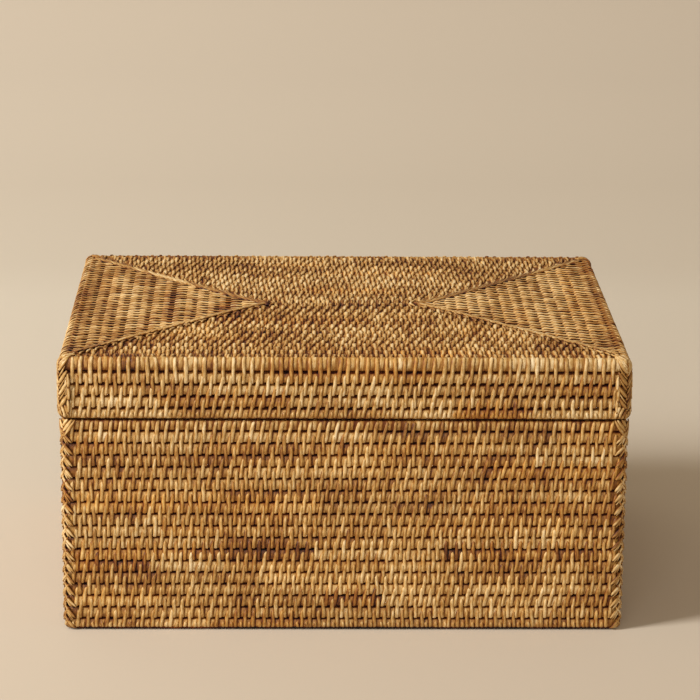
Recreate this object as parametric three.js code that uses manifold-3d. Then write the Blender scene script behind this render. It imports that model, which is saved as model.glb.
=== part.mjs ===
// A lidded storage box made of coiled rattan: canes bound course on course into straight walls, a floor
// and a lid whose top is one long rectangular spiral, with plaited corners and a lift-off lid.
// Units are millimetres. X runs along the width, Y from front to back and Z up from the table.
import * as THREE from 'three';
import { mergeVertices } from 'three/addons/utils/BufferGeometryUtils.js';
import Module from 'manifold-3d';

const wasm = await Module();
wasm.setup();

// Outline of the lid, measured over its wall canes, and of the base that it stands on.
const LID_WIDTH = 402;
const LID_DEPTH = 294;
const LID_OVERHANG = 1; // the lid's side stands this far proud of the base's, all round
const CORNER_BEND = 0.6; // inner radius of the stoutest course's bend at a corner of the wall

// The courses: each is one cane with its binding of rattan peel, bent to a ring.
const BASE_COURSES = 18;
const LID_SIDE_COURSES = 4;
const WALL_CANE_HEIGHT = 8.2;
const WALL_CANE_THICKNESS = 7.8;
const EDGE_CANE_HEIGHT = 10.2; // the lid's top edge is a stouter cane
const EDGE_CANE_THICKNESS = 8.4;
const PEEL_GAP = 0.6; // the binding passes between two canes and keeps them this far apart
const CANE_ROUNDING = 2.3; // how much of each corner of a cane's section is rounded away
const SEAT_GAP = 0.3; // between the lid's rim and the base's

// The lip: slimmer courses lashed inside the base's rim, which keep the lid in place.
const LIP_COURSES_BELOW = 2;
const LIP_COURSES_ABOVE = 2;
const LIP_CANE_HEIGHT = 6;
const LIP_CANE_THICKNESS = 5.4;
const LIP_CANE_ROUNDING = 1.6;
const LIP_CLEARANCE = 0.4; // between the lip and the wall that it is lashed to
const LIP_CORNER_BEND = 0.6;

// The panels: one cane wound from the centre line outwards into a flat rectangle.
const PANEL_CANE_WIDTH = 7.8; // wished for; the canes are drawn up to fill the panel evenly
const PANEL_CANE_HEIGHT = 7.8;
const LID_PANEL_RECESS = 0.5; // the panel's top lies this far under the top of the edge course
const FLOOR_RAISE = 2.4; // the floor's underside is this far above the table

// The plaits: peel strips crossing in chevrons over the corners and over the panels' mitres.
const PLAIT_CLEARANCE = 0.3;
const CORNER_PLAIT_GROOVE = 0.8; // thickness between two chevrons
const CORNER_PLAIT_CREST = 1.6; // thickness at the crown of a chevron
const CORNER_PLAIT_SLOPE = 13; // from a chevron's point to its ends: up on the lid, down on the base
const MITRE_PLAIT_WIDTH = 7;
const MITRE_PLAIT_GROOVE = 0.7;
const MITRE_PLAIT_CREST = 1.3;
const MITRE_PLAIT_SWEEP = 4; // how far a chevron's ends trail behind its point
const MITRE_PLAIT_EDGE = 0.6; // the height of a chevron's ends as a share of its crown's

// Steps of the curves.
const CORNER_STEPS = 3;
const PLAIT_STEPS = 4;
const PANEL_CORNER_STEPS = 1;

const EIGHTH_TURN = Math.PI / 4;
const QUARTER_TURN = Math.PI / 2;

// Sizes that follow from the ones above.
const cornerRadius = EDGE_CANE_THICKNESS + CORNER_BEND; // outer bend of every wall course
const lipCornerRadius = LIP_CANE_THICKNESS + LIP_CORNER_BEND;
const wallPitch = WALL_CANE_HEIGHT + PEEL_GAP;
const lipPitch = LIP_CANE_HEIGHT + PEEL_GAP;
const baseWidth = LID_WIDTH - 2 * LID_OVERHANG;
const baseDepth = LID_DEPTH - 2 * LID_OVERHANG;
const baseHeight = BASE_COURSES * wallPitch - PEEL_GAP;
const lidRim = baseHeight + SEAT_GAP;
const edgeBottom = lidRim + LID_SIDE_COURSES * wallPitch;
const lidTop = edgeBottom + EDGE_CANE_HEIGHT;

const canePaint = { color: 0xb98a4c, roughness: 0.62, metalness: 0 };
const peelPaint = { color: 0xc79b5e, roughness: 0.5, metalness: 0 };

// A cane's section as [out, up] pairs, anticlockwise: a rectangle with its corners taken off.
function caneSection(thickness, height, rounding) {
  const out = thickness / 2;
  const up = height / 2;
  return [
    [out, -up + rounding], [out, up - rounding],
    [out - rounding, up], [-out + rounding, up],
    [-out, up - rounding], [-out, -up + rounding],
    [-out + rounding, -up], [out - rounding, -up],
  ];
}

// Joins rings of as many points each into one closed skin, either round on itself or with two flat ends.
function skin(rings, closed) {
  const sides = rings[0].length;
  const positions = rings.flat().flatMap((point) => point.toArray());
  const faces = [];
  const last = closed ? rings.length : rings.length - 1;
  for (let i = 0; i < last; i++) {
    const here = i * sides;
    const next = ((i + 1) % rings.length) * sides;
    for (let j = 0; j < sides; j++) {
      const k = (j + 1) % sides;
      faces.push(here + j, next + j, here + k, here + k, next + j, next + k);
    }
  }
  if (!closed) {
    const end = (rings.length - 1) * sides;
    for (let j = 1; j < sides - 1; j++) faces.push(0, j, j + 1, end, end + j + 1, end + j);
  }
  const geometry = new THREE.BufferGeometry();
  geometry.setAttribute('position', new THREE.Float32BufferAttribute(positions, 3));
  geometry.setIndex(faces);
  geometry.computeVertexNormals();
  return geometry;
}

// The ring of a section at one station of a level path, given the direction that faces out of the bend.
function sectionAt(section, origin, out) {
  return section.map(([o, u]) => origin.clone().addScaledVector(out, o).add(new THREE.Vector3(0, 0, u)));
}

// Stations round a quarter bend to the left, whose first side faces out along the angle given.
function bend(centre, radius, firstAngle, steps) {
  return Array.from({ length: steps + 1 }, (_, i) => {
    const angle = firstAngle + (i * QUARTER_TURN) / steps;
    const out = new THREE.Vector3(Math.cos(angle), Math.sin(angle), 0);
    return { origin: centre.clone().addScaledVector(out, radius), out };
  });
}

// One course: a cane bent to a rectangle with round corners, its outer face width by depth.
function courseGeometry(width, depth, bendRadius, section, thickness, middle) {
  const x = width / 2 - bendRadius;
  const y = depth / 2 - bendRadius;
  const corners = [[x, -y, -1], [x, y, 0], [-x, y, 1], [-x, -y, 2]];
  const rings = corners.flatMap(([cx, cy, quarter]) => {
    const centre = new THREE.Vector3(cx, cy, middle);
    const stations = bend(centre, bendRadius - thickness / 2, quarter * QUARTER_TURN, CORNER_STEPS);
    return stations.map(({ origin, out }) => sectionAt(section, origin, out));
  });
  return skin(rings, true);
}

// How a panel's spiral fits into the course that borders it: whole turns, drawn up to fill the space.
function panelPlan(width, depth, borderThickness) {
  const halfWidth = width / 2 - borderThickness - PEEL_GAP;
  const halfDepth = depth / 2 - borderThickness - PEEL_GAP;
  const turns = Math.round((halfDepth - PANEL_CANE_WIDTH / 2) / (PANEL_CANE_WIDTH + PEEL_GAP));
  const pitch = (halfDepth + PEEL_GAP / 2) / (turns + 0.5);
  const caneWidth = pitch - PEEL_GAP;
  const centreLine = halfWidth - turns * pitch - caneWidth / 2; // half the length of the first straight
  const end = width / 2 - cornerRadius; // the cane is cut where the border starts to bend
  return { turns, pitch, caneWidth, centreLine, end };
}

// The corners of the spiral in order, anticlockwise from the left end of the centre line.
function spiralCorners({ turns, pitch, centreLine, end }) {
  const points = [[-centreLine - pitch / 2 + PEEL_GAP / 2, 0]];
  for (let k = 1; k <= turns; k++) {
    const x = centreLine + k * pitch;
    const y = k * pitch;
    points.push([x, -(k - 1) * pitch], [x, y], [-x, y], [-x, -y]);
  }
  points.push([end, -turns * pitch]);
  return points;
}

// Stations along the spiral's middle line, with every corner bent tightly to the left.
function spiralStations(plan, middle) {
  const corners = spiralCorners(plan).map(([x, y]) => new THREE.Vector3(x, y, middle));
  const radius = plan.pitch / 2; // the first U-turn, one pitch wide, is then two of these bends
  const outOf = (from, to) => {
    const along = to.clone().sub(from).normalize();
    return new THREE.Vector3(along.y, -along.x, 0);
  };
  const stations = [{ origin: corners[0], out: outOf(corners[0], corners[1]) }];
  for (let i = 1; i < corners.length - 1; i++) {
    const before = outOf(corners[i - 1], corners[i]);
    const after = outOf(corners[i], corners[i + 1]);
    const centre = corners[i].clone().addScaledVector(before, -radius).addScaledVector(after, -radius);
    stations.push(...bend(centre, radius, Math.atan2(before.y, before.x), PANEL_CORNER_STEPS));
  }
  const end = corners.length - 1;
  stations.push({ origin: corners[end], out: outOf(corners[end - 1], corners[end]) });
  return stations;
}

// The least gap between two turns of the spiral: every corner of both its edges against every stretch of
// them that lies more than three pitches further along the cane or nearer its start.
function leastGap(stations, { caneWidth, pitch }) {
  const edges = [-1, 1].map((side) => (
    stations.map(({ origin, out }) => origin.clone().addScaledVector(out, (side * caneWidth) / 2))
  ));
  const travelled = [0];
  for (let i = 1; i < stations.length; i++) {
    travelled.push(travelled[i - 1] + stations[i].origin.distanceTo(stations[i - 1].origin));
  }
  const nearest = new THREE.Vector3();
  let least = Infinity;
  stations.forEach((_, i) => {
    for (let j = 1; j < stations.length; j++) {
      const apart = Math.max(travelled[j - 1] - travelled[i], travelled[i] - travelled[j]);
      if (apart <= 3 * pitch) continue;
      for (const edge of edges) {
        const stretch = new THREE.Line3(edge[j - 1], edge[j]);
        for (const { [i]: corner } of edges) {
          stretch.closestPointToPoint(corner, true, nearest);
          least = Math.min(least, nearest.distanceTo(corner));
        }
      }
    }
  });
  return least;
}

// A panel: one unbroken cane wound into a flat rectangular spiral.
function panelGeometry(plan, middle, name) {
  const stations = spiralStations(plan, middle);
  console.log(`${name}: ${plan.turns} turns, least gap ${leastGap(stations, plan).toFixed(2)} mm`);
  const section = caneSection(plan.caneWidth, PANEL_CANE_HEIGHT, CANE_ROUNDING);
  return skin(stations.map(({ origin, out }) => sectionAt(section, origin, out)), false);
}

// A closed mesh as a solid that can be cut, and back again.
function solidOf(geometry) {
  const bare = new THREE.BufferGeometry();
  bare.setAttribute('position', geometry.getAttribute('position').clone());
  bare.setIndex(geometry.index ? geometry.index.clone() : null);
  const merged = mergeVertices(bare, 1e-4);
  const vertProperties = merged.getAttribute('position').array;
  const triVerts = new Uint32Array(merged.index.array);
  return new wasm.Manifold(new wasm.Mesh({ numProp: 3, vertProperties, triVerts }));
}

function geometryOf(solid) {
  const mesh = solid.getMesh();
  const geometry = new THREE.BufferGeometry();
  geometry.setAttribute('position', new THREE.BufferAttribute(mesh.vertProperties, 3));
  geometry.setIndex(new THREE.BufferAttribute(mesh.triVerts, 1));
  geometry.computeVertexNormals();
  return geometry;
}

// A corner plait: chevrons of peel laid round one bent corner, one to each course, trimmed to its height.
// Their ends lie higher than their points where the slope is positive.
function cornerPlaitGeometry(width, depth, sideX, sideY, bottom, top, slope) {
  const inner = cornerRadius + PLAIT_CLEARANCE;
  const centre = new THREE.Vector2(sideX * (width / 2 - cornerRadius), sideY * (depth / 2 - cornerRadius));
  const firstAngle = Math.atan2(sideY, sideX) - EIGHTH_TURN;
  const angles = (steps) => Array.from({ length: steps + 1 }, (_, i) => (i * QUARTER_TURN) / steps);
  const pointAt = (angle, radius, z) => {
    const lift = (slope * Math.abs(angle - EIGHTH_TURN)) / EIGHTH_TURN;
    const turn = firstAngle + angle;
    const x = centre.x + radius * Math.cos(turn);
    const y = centre.y + radius * Math.sin(turn);
    return new THREE.Vector3(x, y, z + lift);
  };
  const half = wallPitch / 2;
  const lowest = bottom - Math.max(slope, 0) - half;
  const count = Math.ceil((top - bottom + Math.abs(slope)) / half) + 2;
  const rings = [];
  for (let i = 0; i <= count; i++) {
    const z = lowest + i * half;
    const thickness = i % 2 ? CORNER_PLAIT_CREST : CORNER_PLAIT_GROOVE;
    const outerArc = angles(PLAIT_STEPS).map((angle) => pointAt(angle, inner + thickness, z));
    const innerArc = angles(CORNER_STEPS).reverse().map((angle) => pointAt(angle, inner, z));
    rings.push([...outerArc, ...innerArc]);
  }
  const trimmer = new THREE.BoxGeometry(4 * cornerRadius, 4 * cornerRadius, top - bottom);
  trimmer.translate(centre.x, centre.y, (top + bottom) / 2);
  return geometryOf(solidOf(skin(rings.reverse(), false)).intersect(solidOf(trimmer)));
}

// A mitre plait: chevrons laid along one diagonal of a panel, from its centre line to its corner.
// It lies on the level given, and it is thick upwards (side 1) or downwards (side -1).
function mitrePlaitGeometry(from, to, level, side, pitch) {
  const along = to.clone().sub(from);
  const length = along.length();
  along.normalize();
  const across = new THREE.Vector2(-along.y, along.x);
  const half = MITRE_PLAIT_WIDTH / 2;
  const start = half + PLAIT_CLEARANCE; // clear of the plait on the other side of the centre line
  const chevrons = Math.round(length / (pitch * Math.SQRT2));
  const step = (length - start - MITRE_PLAIT_SWEEP) / (2 * chevrons);
  const rings = [];
  for (let i = 0; i <= 2 * chevrons; i++) {
    const crown = i % 2 ? MITRE_PLAIT_CREST : MITRE_PLAIT_GROOVE;
    const edge = crown * MITRE_PLAIT_EDGE;
    const point = (offset, height) => {
      const reach = start + i * step + MITRE_PLAIT_SWEEP * (1 - Math.abs(offset) / half);
      const at = from.clone().addScaledVector(along, reach).addScaledVector(across, offset);
      return new THREE.Vector3(at.x, at.y, level + side * height);
    };
    rings.push([point(-half, 0), point(-half, edge), point(0, crown), point(half, edge), point(half, 0)]);
  }
  return skin(side > 0 ? rings : rings.reverse(), false);
}

const box = new THREE.Group();
const base = new THREE.Group();
const lid = new THREE.Group();
box.add(base, lid);

function place(group, name, geometry, paint) {
  const mesh = new THREE.Mesh(geometry, new THREE.MeshStandardMaterial(paint));
  mesh.name = name;
  group.add(mesh);
}

const wallSection = caneSection(WALL_CANE_THICKNESS, WALL_CANE_HEIGHT, CANE_ROUNDING);
const edgeSection = caneSection(EDGE_CANE_THICKNESS, EDGE_CANE_HEIGHT, CANE_ROUNDING);
const lipSection = caneSection(LIP_CANE_THICKNESS, LIP_CANE_HEIGHT, LIP_CANE_ROUNDING);

function wallCourse(width, depth, bottom) {
  const middle = bottom + WALL_CANE_HEIGHT / 2;
  return courseGeometry(width, depth, cornerRadius, wallSection, WALL_CANE_THICKNESS, middle);
}

// The base's wall, from the table up.
for (let i = 0; i < BASE_COURSES; i++) {
  const name = `base_course_${String(i + 1).padStart(2, '0')}`;
  place(base, name, wallCourse(baseWidth, baseDepth, i * wallPitch), canePaint);
}

// The lip inside the base's rim.
const lipWidth = baseWidth - 2 * (WALL_CANE_THICKNESS + LIP_CLEARANCE);
const lipDepth = baseDepth - 2 * (WALL_CANE_THICKNESS + LIP_CLEARANCE);
for (let i = 0; i < LIP_COURSES_BELOW + LIP_COURSES_ABOVE; i++) {
  const middle = baseHeight + (i - LIP_COURSES_BELOW) * lipPitch + LIP_CANE_HEIGHT / 2;
  const ring = courseGeometry(lipWidth, lipDepth, lipCornerRadius, lipSection, LIP_CANE_THICKNESS, middle);
  place(base, `lip_course_${i + 1}`, ring, canePaint);
}

// The lid's side, from its rim up, and the stouter course along its top edge.
for (let i = 0; i < LID_SIDE_COURSES; i++) {
  place(lid, `lid_side_course_${i + 1}`, wallCourse(LID_WIDTH, LID_DEPTH, lidRim + i * wallPitch), canePaint);
}
const edgeMiddle = edgeBottom + EDGE_CANE_HEIGHT / 2;
const edge = courseGeometry(LID_WIDTH, LID_DEPTH, cornerRadius, edgeSection, EDGE_CANE_THICKNESS, edgeMiddle);
place(lid, 'lid_edge_course', edge, canePaint);

// The two panels, each inside the course that borders it.
const floorPlan = panelPlan(baseWidth, baseDepth, WALL_CANE_THICKNESS);
const topPlan = panelPlan(LID_WIDTH, LID_DEPTH, EDGE_CANE_THICKNESS);
const panelTop = lidTop - LID_PANEL_RECESS;
place(base, 'floor_coil', panelGeometry(floorPlan, FLOOR_RAISE + PANEL_CANE_HEIGHT / 2, 'floor'), canePaint);
place(lid, 'lid_top_coil', panelGeometry(topPlan, panelTop - PANEL_CANE_HEIGHT / 2, 'lid top'), canePaint);

// The plaits, at each of the four corners of the base, the lid and the two panels.
const corners = [['front_left', -1, -1], ['front_right', 1, -1], ['back_right', 1, 1], ['back_left', -1, 1]];
for (const [where, sideX, sideY] of corners) {
  const plait = (width, depth, bottom, top, slope) => (
    cornerPlaitGeometry(width, depth, sideX, sideY, bottom, top, slope)
  );
  const basePlait = plait(baseWidth, baseDepth, CANE_ROUNDING / 2, baseHeight, -CORNER_PLAIT_SLOPE);
  const lidPlait = plait(LID_WIDTH, LID_DEPTH, lidRim, lidTop - CANE_ROUNDING, CORNER_PLAIT_SLOPE);
  place(base, `base_plait_${where}`, basePlait, peelPaint);
  place(lid, `lid_plait_${where}`, lidPlait, peelPaint);

  // The spiral steps out by one cane at the front right. The four ridges lie a quarter of a pitch
  // further out than the other mitres, so that they stay even and hide the step.
  const mitre = (plan, level, side) => {
    const start = plan.centreLine + plan.pitch / 4;
    const reach = (plan.turns - 1 / 4) * plan.pitch;
    const from = new THREE.Vector2(sideX * start, 0);
    const to = new THREE.Vector2(sideX * (start + reach), sideY * reach);
    return mitrePlaitGeometry(from, to, level, side, plan.pitch);
  };
  place(base, `floor_mitre_${where}`, mitre(floorPlan, FLOOR_RAISE - PLAIT_CLEARANCE, -1), peelPaint);
  place(lid, `lid_mitre_${where}`, mitre(topPlan, panelTop + PLAIT_CLEARANCE, 1), peelPaint);
}

export default box;
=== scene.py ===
# %% [markdown]
# # A rattan box with a lift-off lid
#
# The box is coiled work. Canes about 8 mm thick are bent to rings and stacked, one ring to a course, and
# each is bound to the course above it with split peel: flat strips of the cane's own glossy bark. The
# CAD model holds the canes, one closed solid each. This script dresses each of them in its binding,
# strip by strip, and lays the plaits over the corners and over the mitres of the lid and the floor.
#
# The frame brings the CAD solids in at their real places.

import math
import random
from collections import namedtuple

import bmesh
import bpy
from mathutils import Matrix, Vector


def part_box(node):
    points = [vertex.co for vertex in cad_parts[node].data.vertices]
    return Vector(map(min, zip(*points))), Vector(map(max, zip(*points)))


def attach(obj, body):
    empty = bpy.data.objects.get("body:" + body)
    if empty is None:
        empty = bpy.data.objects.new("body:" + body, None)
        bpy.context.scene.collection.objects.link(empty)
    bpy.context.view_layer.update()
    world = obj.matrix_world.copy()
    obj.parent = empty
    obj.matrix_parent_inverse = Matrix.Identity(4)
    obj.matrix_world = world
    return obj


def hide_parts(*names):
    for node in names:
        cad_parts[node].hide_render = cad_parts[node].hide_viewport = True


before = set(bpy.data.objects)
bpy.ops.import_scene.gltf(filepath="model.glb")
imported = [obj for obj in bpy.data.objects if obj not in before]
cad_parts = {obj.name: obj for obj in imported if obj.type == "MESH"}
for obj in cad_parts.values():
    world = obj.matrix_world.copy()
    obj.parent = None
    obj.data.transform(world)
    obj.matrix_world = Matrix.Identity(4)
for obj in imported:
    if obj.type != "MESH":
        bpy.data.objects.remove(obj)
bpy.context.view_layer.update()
UP = Vector((0, 0, 1))
MM = 0.001

# %% [markdown]
# ## The camera
#
# The box was photographed from the front with a long lens, from a little above and a hair to the left.
# The place and the lens below were worked out from the corners of the box in the picture: with a depth
# and a width that fit its parts, only one camera puts all the corners where they are seen.

# %% The camera
LENS = 143.09
SENSOR_WIDTH = 36
CAMERA_PLACE = Vector((-0.043221, -2.006812, 0.754187))
CAMERA_YAW, CAMERA_PITCH, CAMERA_ROLL = 0.024804, 0.284738, 0.009971


def camera_axes(yaw, pitch, roll):
    """The camera's right, up and backward directions."""
    forward = Vector((math.sin(yaw) * math.cos(pitch), math.cos(yaw) * math.cos(pitch), -math.sin(pitch)))
    level = Vector((math.cos(yaw), -math.sin(yaw), 0))
    upright = level.cross(forward)
    right = math.cos(roll) * level + math.sin(roll) * upright
    return right, -math.sin(roll) * level + math.cos(roll) * upright, -forward


camera = bpy.data.objects.new("camera", bpy.data.cameras.new("camera"))
bpy.context.scene.collection.objects.link(camera)
camera.data.lens = LENS
camera.data.sensor_width = SENSOR_WIDTH
axes = camera_axes(CAMERA_YAW, CAMERA_PITCH, CAMERA_ROLL)
camera.matrix_world = Matrix.Translation(CAMERA_PLACE) @ Matrix(axes).transposed().to_4x4()
bpy.context.scene.camera = camera
print("the camera stands at", [round(v, 3) for v in camera.matrix_world.translation])

# %% [markdown]
# ## The finish: split peel
#
# Split peel is a smooth, slightly glossy skin with fine fibres along the strip. A strip is cut from one
# stem, so its colour holds for a hand's breadth of binding and then jumps where the next strip is
# spliced in: straw, honey, brown, now and then a reddish one. The sides of each strip, and the grooves
# where two canes meet, are painted a deep red brown to nearly black: that is painted shade.
#
# A picture of rattan would do for the colour, but it can't follow thousands of strips. Each strip
# carries two attributes instead. "grain" says where a point lies across and along its strip, in
# millimetres, and "shade" gives the strip's tone, how red it is, and how much painted shade the point
# has. One node group turns these into a colour, a roughness and a height for the bump. The painted
# shade makes a colour deeper, as a thicker layer of the same varnish would: a Gamma node does that,
# where a mix to black turns it grey.

# %% The peel's node group
def add(tree, kind, **settings):
    """Adds a node. A setting is one of the node's own, or else an input, by its name or as i and its
    number."""
    made = tree.nodes.new(kind)
    for name, value in settings.items():
        linked = isinstance(value, bpy.types.NodeSocket)
        if not linked and isinstance(getattr(made, name, None), (str, bool, int)):
            setattr(made, name, value)
            continue
        place = int(name[1:]) if name[1:].isdigit() else name
        if linked:
            tree.links.new(value, made.inputs[place])
        else:
            made.inputs[place].default_value = value
    return made


def sum_of(tree, value, factor, rest):
    """value * factor + rest, each a number or a link."""
    return add(tree, "ShaderNodeMath", operation="MULTIPLY_ADD", i0=value, i1=factor, i2=rest).outputs[0]


def noise(tree, place, detail):
    """A noise from 0 to 1, a half on average."""
    return add(tree, "ShaderNodeTexNoise", Vector=place, Scale=1.0, Detail=detail, Roughness=0.6).outputs[0]


def spread_tones(stops, tones):
    """Gives a new colour ramp those tones, each a place from 0 to 1 and a colour."""
    stops[0].color = (*tones[0][1], 1)
    stops[1].color = (*tones[-1][1], 1)
    for at, colour in tones[1:-1]:
        stops.new(at).color = (*colour, 1)


PEEL_TONES = (
    (0.00, (0.085, 0.026, 0.005)),
    (0.20, (0.210, 0.082, 0.018)),
    (0.42, (0.380, 0.198, 0.050)),
    (0.62, (0.515, 0.328, 0.118)),
    (0.82, (0.655, 0.478, 0.245)),
    (1.00, (0.800, 0.645, 0.405)),
)
FIBRES, BANDS, STAINS = 0.95, 0.85, 0.55
STAIN_STRETCH = (22.0, 22.0, 70.0)
PAINTED_SHADE_DEPTH = 1.9
RED_PEEL = (1.0, 0.80, 0.40, 1)


def peel_group():
    """The node group: Grain, Shade and Place in, Colour, Roughness and Height out."""
    tree = bpy.data.node_groups.new("split peel", "ShaderNodeTree")
    for name in ("Grain", "Shade", "Place"):
        tree.interface.new_socket(name, in_out="INPUT", socket_type="NodeSocketVector")
    for name, kind in (("Colour", "Color"), ("Roughness", "Float"), ("Height", "Float")):
        tree.interface.new_socket(name, in_out="OUTPUT", socket_type="NodeSocket" + kind)
    given = tree.nodes.new("NodeGroupInput").outputs
    across, along, _ = add(tree, "ShaderNodeSeparateXYZ", i0=given["Grain"]).outputs
    tone, red, dark = add(tree, "ShaderNodeSeparateXYZ", i0=given["Shade"]).outputs

    # Each strip's tone and redness choose its own layer of the noise, so no two strips look alike.
    own = sum_of(tree, tone, 211.0, sum_of(tree, red, 57.0, 0.0))

    def strip_noise(fineness, shift, fineness_along, detail):
        x = sum_of(tree, across, fineness, shift)
        y = sum_of(tree, along, fineness_along, 0.0)
        return noise(tree, add(tree, "ShaderNodeCombineXYZ", X=x, Y=y, Z=own).outputs[0], detail)

    fibres = strip_noise(1.9, 0.0, 0.12, 3.0)
    bands = strip_noise(0.55, 5.0, 0.22, 2.0)
    stretched = add(tree, "ShaderNodeVectorMath", operation="MULTIPLY", i0=given["Place"], i1=STAIN_STRETCH)
    stains = noise(tree, stretched.outputs[0], 2.0)

    # The noises move the tone up and down. Half of their weights is taken off, so that on average they don't.
    level = -(FIBRES + BANDS + STAINS) / 2
    for value, weight in ((stains, STAINS), (bands, BANDS), (fibres, FIBRES), (tone, 1.0)):
        level = sum_of(tree, value, weight, level)
    ramp = add(tree, "ShaderNodeValToRGB", Fac=level)
    spread_tones(ramp.color_ramp.elements, PEEL_TONES)
    reddened = add(
        tree, "ShaderNodeMix", data_type="RGBA", blend_type="MULTIPLY",
        i0=red, i6=ramp.outputs[0], i7=RED_PEEL,
    )
    # Painted shade: the third channel of the shade attribute deepens the colour in the grooves, on the flanks
    # of the strips and under the foot.
    deeper = sum_of(tree, dark, PAINTED_SHADE_DEPTH, 1.0)
    painted_shaded = add(tree, "ShaderNodeGamma", Color=reddened.outputs[2], Gamma=deeper)
    roughness = sum_of(tree, fibres, 0.25, sum_of(tree, dark, 0.35, 0.32))

    out = tree.nodes.new("NodeGroupOutput")
    for name, value in (("Colour", painted_shaded.outputs[0]), ("Roughness", roughness), ("Height", fibres)):
        tree.links.new(value, out.inputs[name])
    return tree


PEEL = peel_group()
print("the peel's group has", len(PEEL.nodes), "nodes")

# %% [markdown]
# Two finishes use the group. In the binding of the canes the fibres stand out a little more than in the
# plaits, whose strips are rubbed smooth by handling. Both are plain wood shaders: the gloss comes from
# the lamps.

# %% The two finishes
FIBRE_HEIGHT = 0.15 * MM
GLOSS = 0.35


def peel_finish(name, bump):
    material = bpy.data.materials.new(name)
    material.use_nodes = True
    tree = material.node_tree
    shader = tree.nodes["Principled BSDF"]
    peel = tree.nodes.new("ShaderNodeGroup")
    peel.node_tree = PEEL
    for layer in ("grain", "shade"):
        attribute = add(tree, "ShaderNodeAttribute", attribute_name=layer)
        tree.links.new(attribute.outputs["Vector"], peel.inputs[layer.capitalize()])
    tree.links.new(tree.nodes.new("ShaderNodeTexCoord").outputs["Object"], peel.inputs["Place"])
    relief = add(tree, "ShaderNodeBump", Strength=bump, Distance=FIBRE_HEIGHT, Height=peel.outputs["Height"])
    tree.links.new(peel.outputs["Colour"], shader.inputs["Base Color"])
    tree.links.new(peel.outputs["Roughness"], shader.inputs["Roughness"])
    tree.links.new(relief.outputs[0], shader.inputs["Normal"])
    shader.inputs["Specular IOR Level"].default_value = GLOSS
    return material


binding_finish = peel_finish("peel binding", 0.6)
plait_finish = peel_finish("peel plait", 0.5)
print("finishes:", binding_finish.name, "and", plait_finish.name)

# %% [markdown]
# ## A strip of peel
#
# Every visible strip has the same make: a flat ribbon with a rounded back, 2 to 3 mm wide and under a
# millimetre thick, narrowing where it dives under its neighbours. It starts as a grid, three to five
# faces round and a few along. Its points are moved onto a path, the grid's two long edges are merged, and
# its ends are closed. Only a few dozen faces are spent on it, because the box has some ten thousand of
# them.

# %% A strip of peel
# A back is the section of a strip: points (share of the width, share of the thickness, painted shade). The
# painted shade darkens the flanks, where the strip meets its neighbours.
BACK = ((-0.5, 0.0, 0.95), (-0.35, 0.8, 0.22), (0.0, 1.05, 0.0), (0.35, 0.8, 0.22), (0.5, 0.0, 0.95))
PANEL_BACK = ((-0.5, 0.0, 1.4), (-0.38, 0.75, 0.65), (0.0, 1.05, 0.0), (0.38, 0.75, 0.65), (0.5, 0.0, 1.4))
PLAIN_BACK = ((-0.5, 0.0, 0.62), (0.0, 1.0, 0.04), (0.5, 0.0, 0.62))
# Painted shade at a strip's first points, where it leaves the groove, and at its last point.
START_PAINTED_SHADE, END_PAINTED_SHADE = (1.1,), 0.15


def wrapped_grid(bm, columns, rows):
    """A grid whose first and last columns are to be merged, as a list of rows of points."""
    made = bmesh.ops.create_grid(bm, x_segments=columns, y_segments=rows, size=1)["verts"]
    return [made[row * (columns + 1):(row + 1) * (columns + 1)] for row in range(rows + 1)]


def shading_layers(bm):
    """The mesh's layers for the grain and the shade."""
    layers = bm.verts.layers.float_vector
    return (layers.get("grain") or layers.new("grain")), (layers.get("shade") or layers.new("shade"))


def lay_strip(bm, path, sides, widths, thickness, tone=0.5, red=0.0, back=BACK,
              start_dark=START_PAINTED_SHADE, end_dark=END_PAINTED_SHADE):
    """A strip along a path of points, given the direction across it at each point. The back rises on the
    side that sides x path points to. Its first points and its last are darkened by the painted shade
    that the last two arguments give."""
    grain, shade = shading_layers(bm)
    rows = wrapped_grid(bm, len(back), len(path) - 1)
    travelled = 0.0
    for i, (row, centre, side, width) in enumerate(zip(rows, path, sides, widths)):
        before, after = path[max(i - 1, 0)], path[min(i + 1, len(path) - 1)]
        rise = side.cross(after - before).normalized()
        travelled += (centre - before).length
        end = start_dark[i] if i < len(start_dark) else end_dark if i == len(path) - 1 else 0.0
        for vert, (share, height, dark) in zip(row, (*back, back[0])):
            vert.co = centre + share * width * side + height * thickness * rise
            vert[grain] = (share * width, travelled, 0)
            vert[shade] = (tone, red, max(dark, end))
    bmesh.ops.remove_doubles(bm, verts=[vert for row in rows for vert in row], dist=1e-5)
    ends = [edge for row in (rows[0], rows[-1]) for vert in row if vert.is_valid
            for edge in vert.link_edges if edge.is_boundary]
    bmesh.ops.holes_fill(bm, edges=list(set(ends)), sides=len(back))


def finished_mesh(bm, name):
    """The bmesh as a smooth mesh with all its faces outward."""
    bmesh.ops.recalc_face_normals(bm, faces=bm.faces)
    for face in bm.faces:
        face.smooth = True
    mesh = bpy.data.meshes.new(name)
    bm.to_mesh(mesh)
    bm.free()
    return mesh


# %% [markdown]
# ## The long stitches
#
# The binding strip winds round its own cane and, at every second turn, takes a long stitch over the cane
# above. A long stitch leaves the groove under its own cane, crosses its face and the next groove, and
# ends in a rounded tip three quarters up the cane above. Below the rim, and below the lid's edge, the
# long stitches run right up to the edge, because no cane is left to bind. In the lowest course of the
# base and of the lid, short tips come up from below between them.
#
# The stitches are only made a few times each, slightly bowed one way or the other, and then stamped all
# over the canes. In a pattern, x runs to the right, -y out of the wall and z up, in millimetres from the
# middle of its own cane.
#
# On the panels the stitches differ by side. On the near side they swell towards their ends, on the far
# side they narrow, and on the two triangles they are smoother, because the strips lie closer there.

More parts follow.
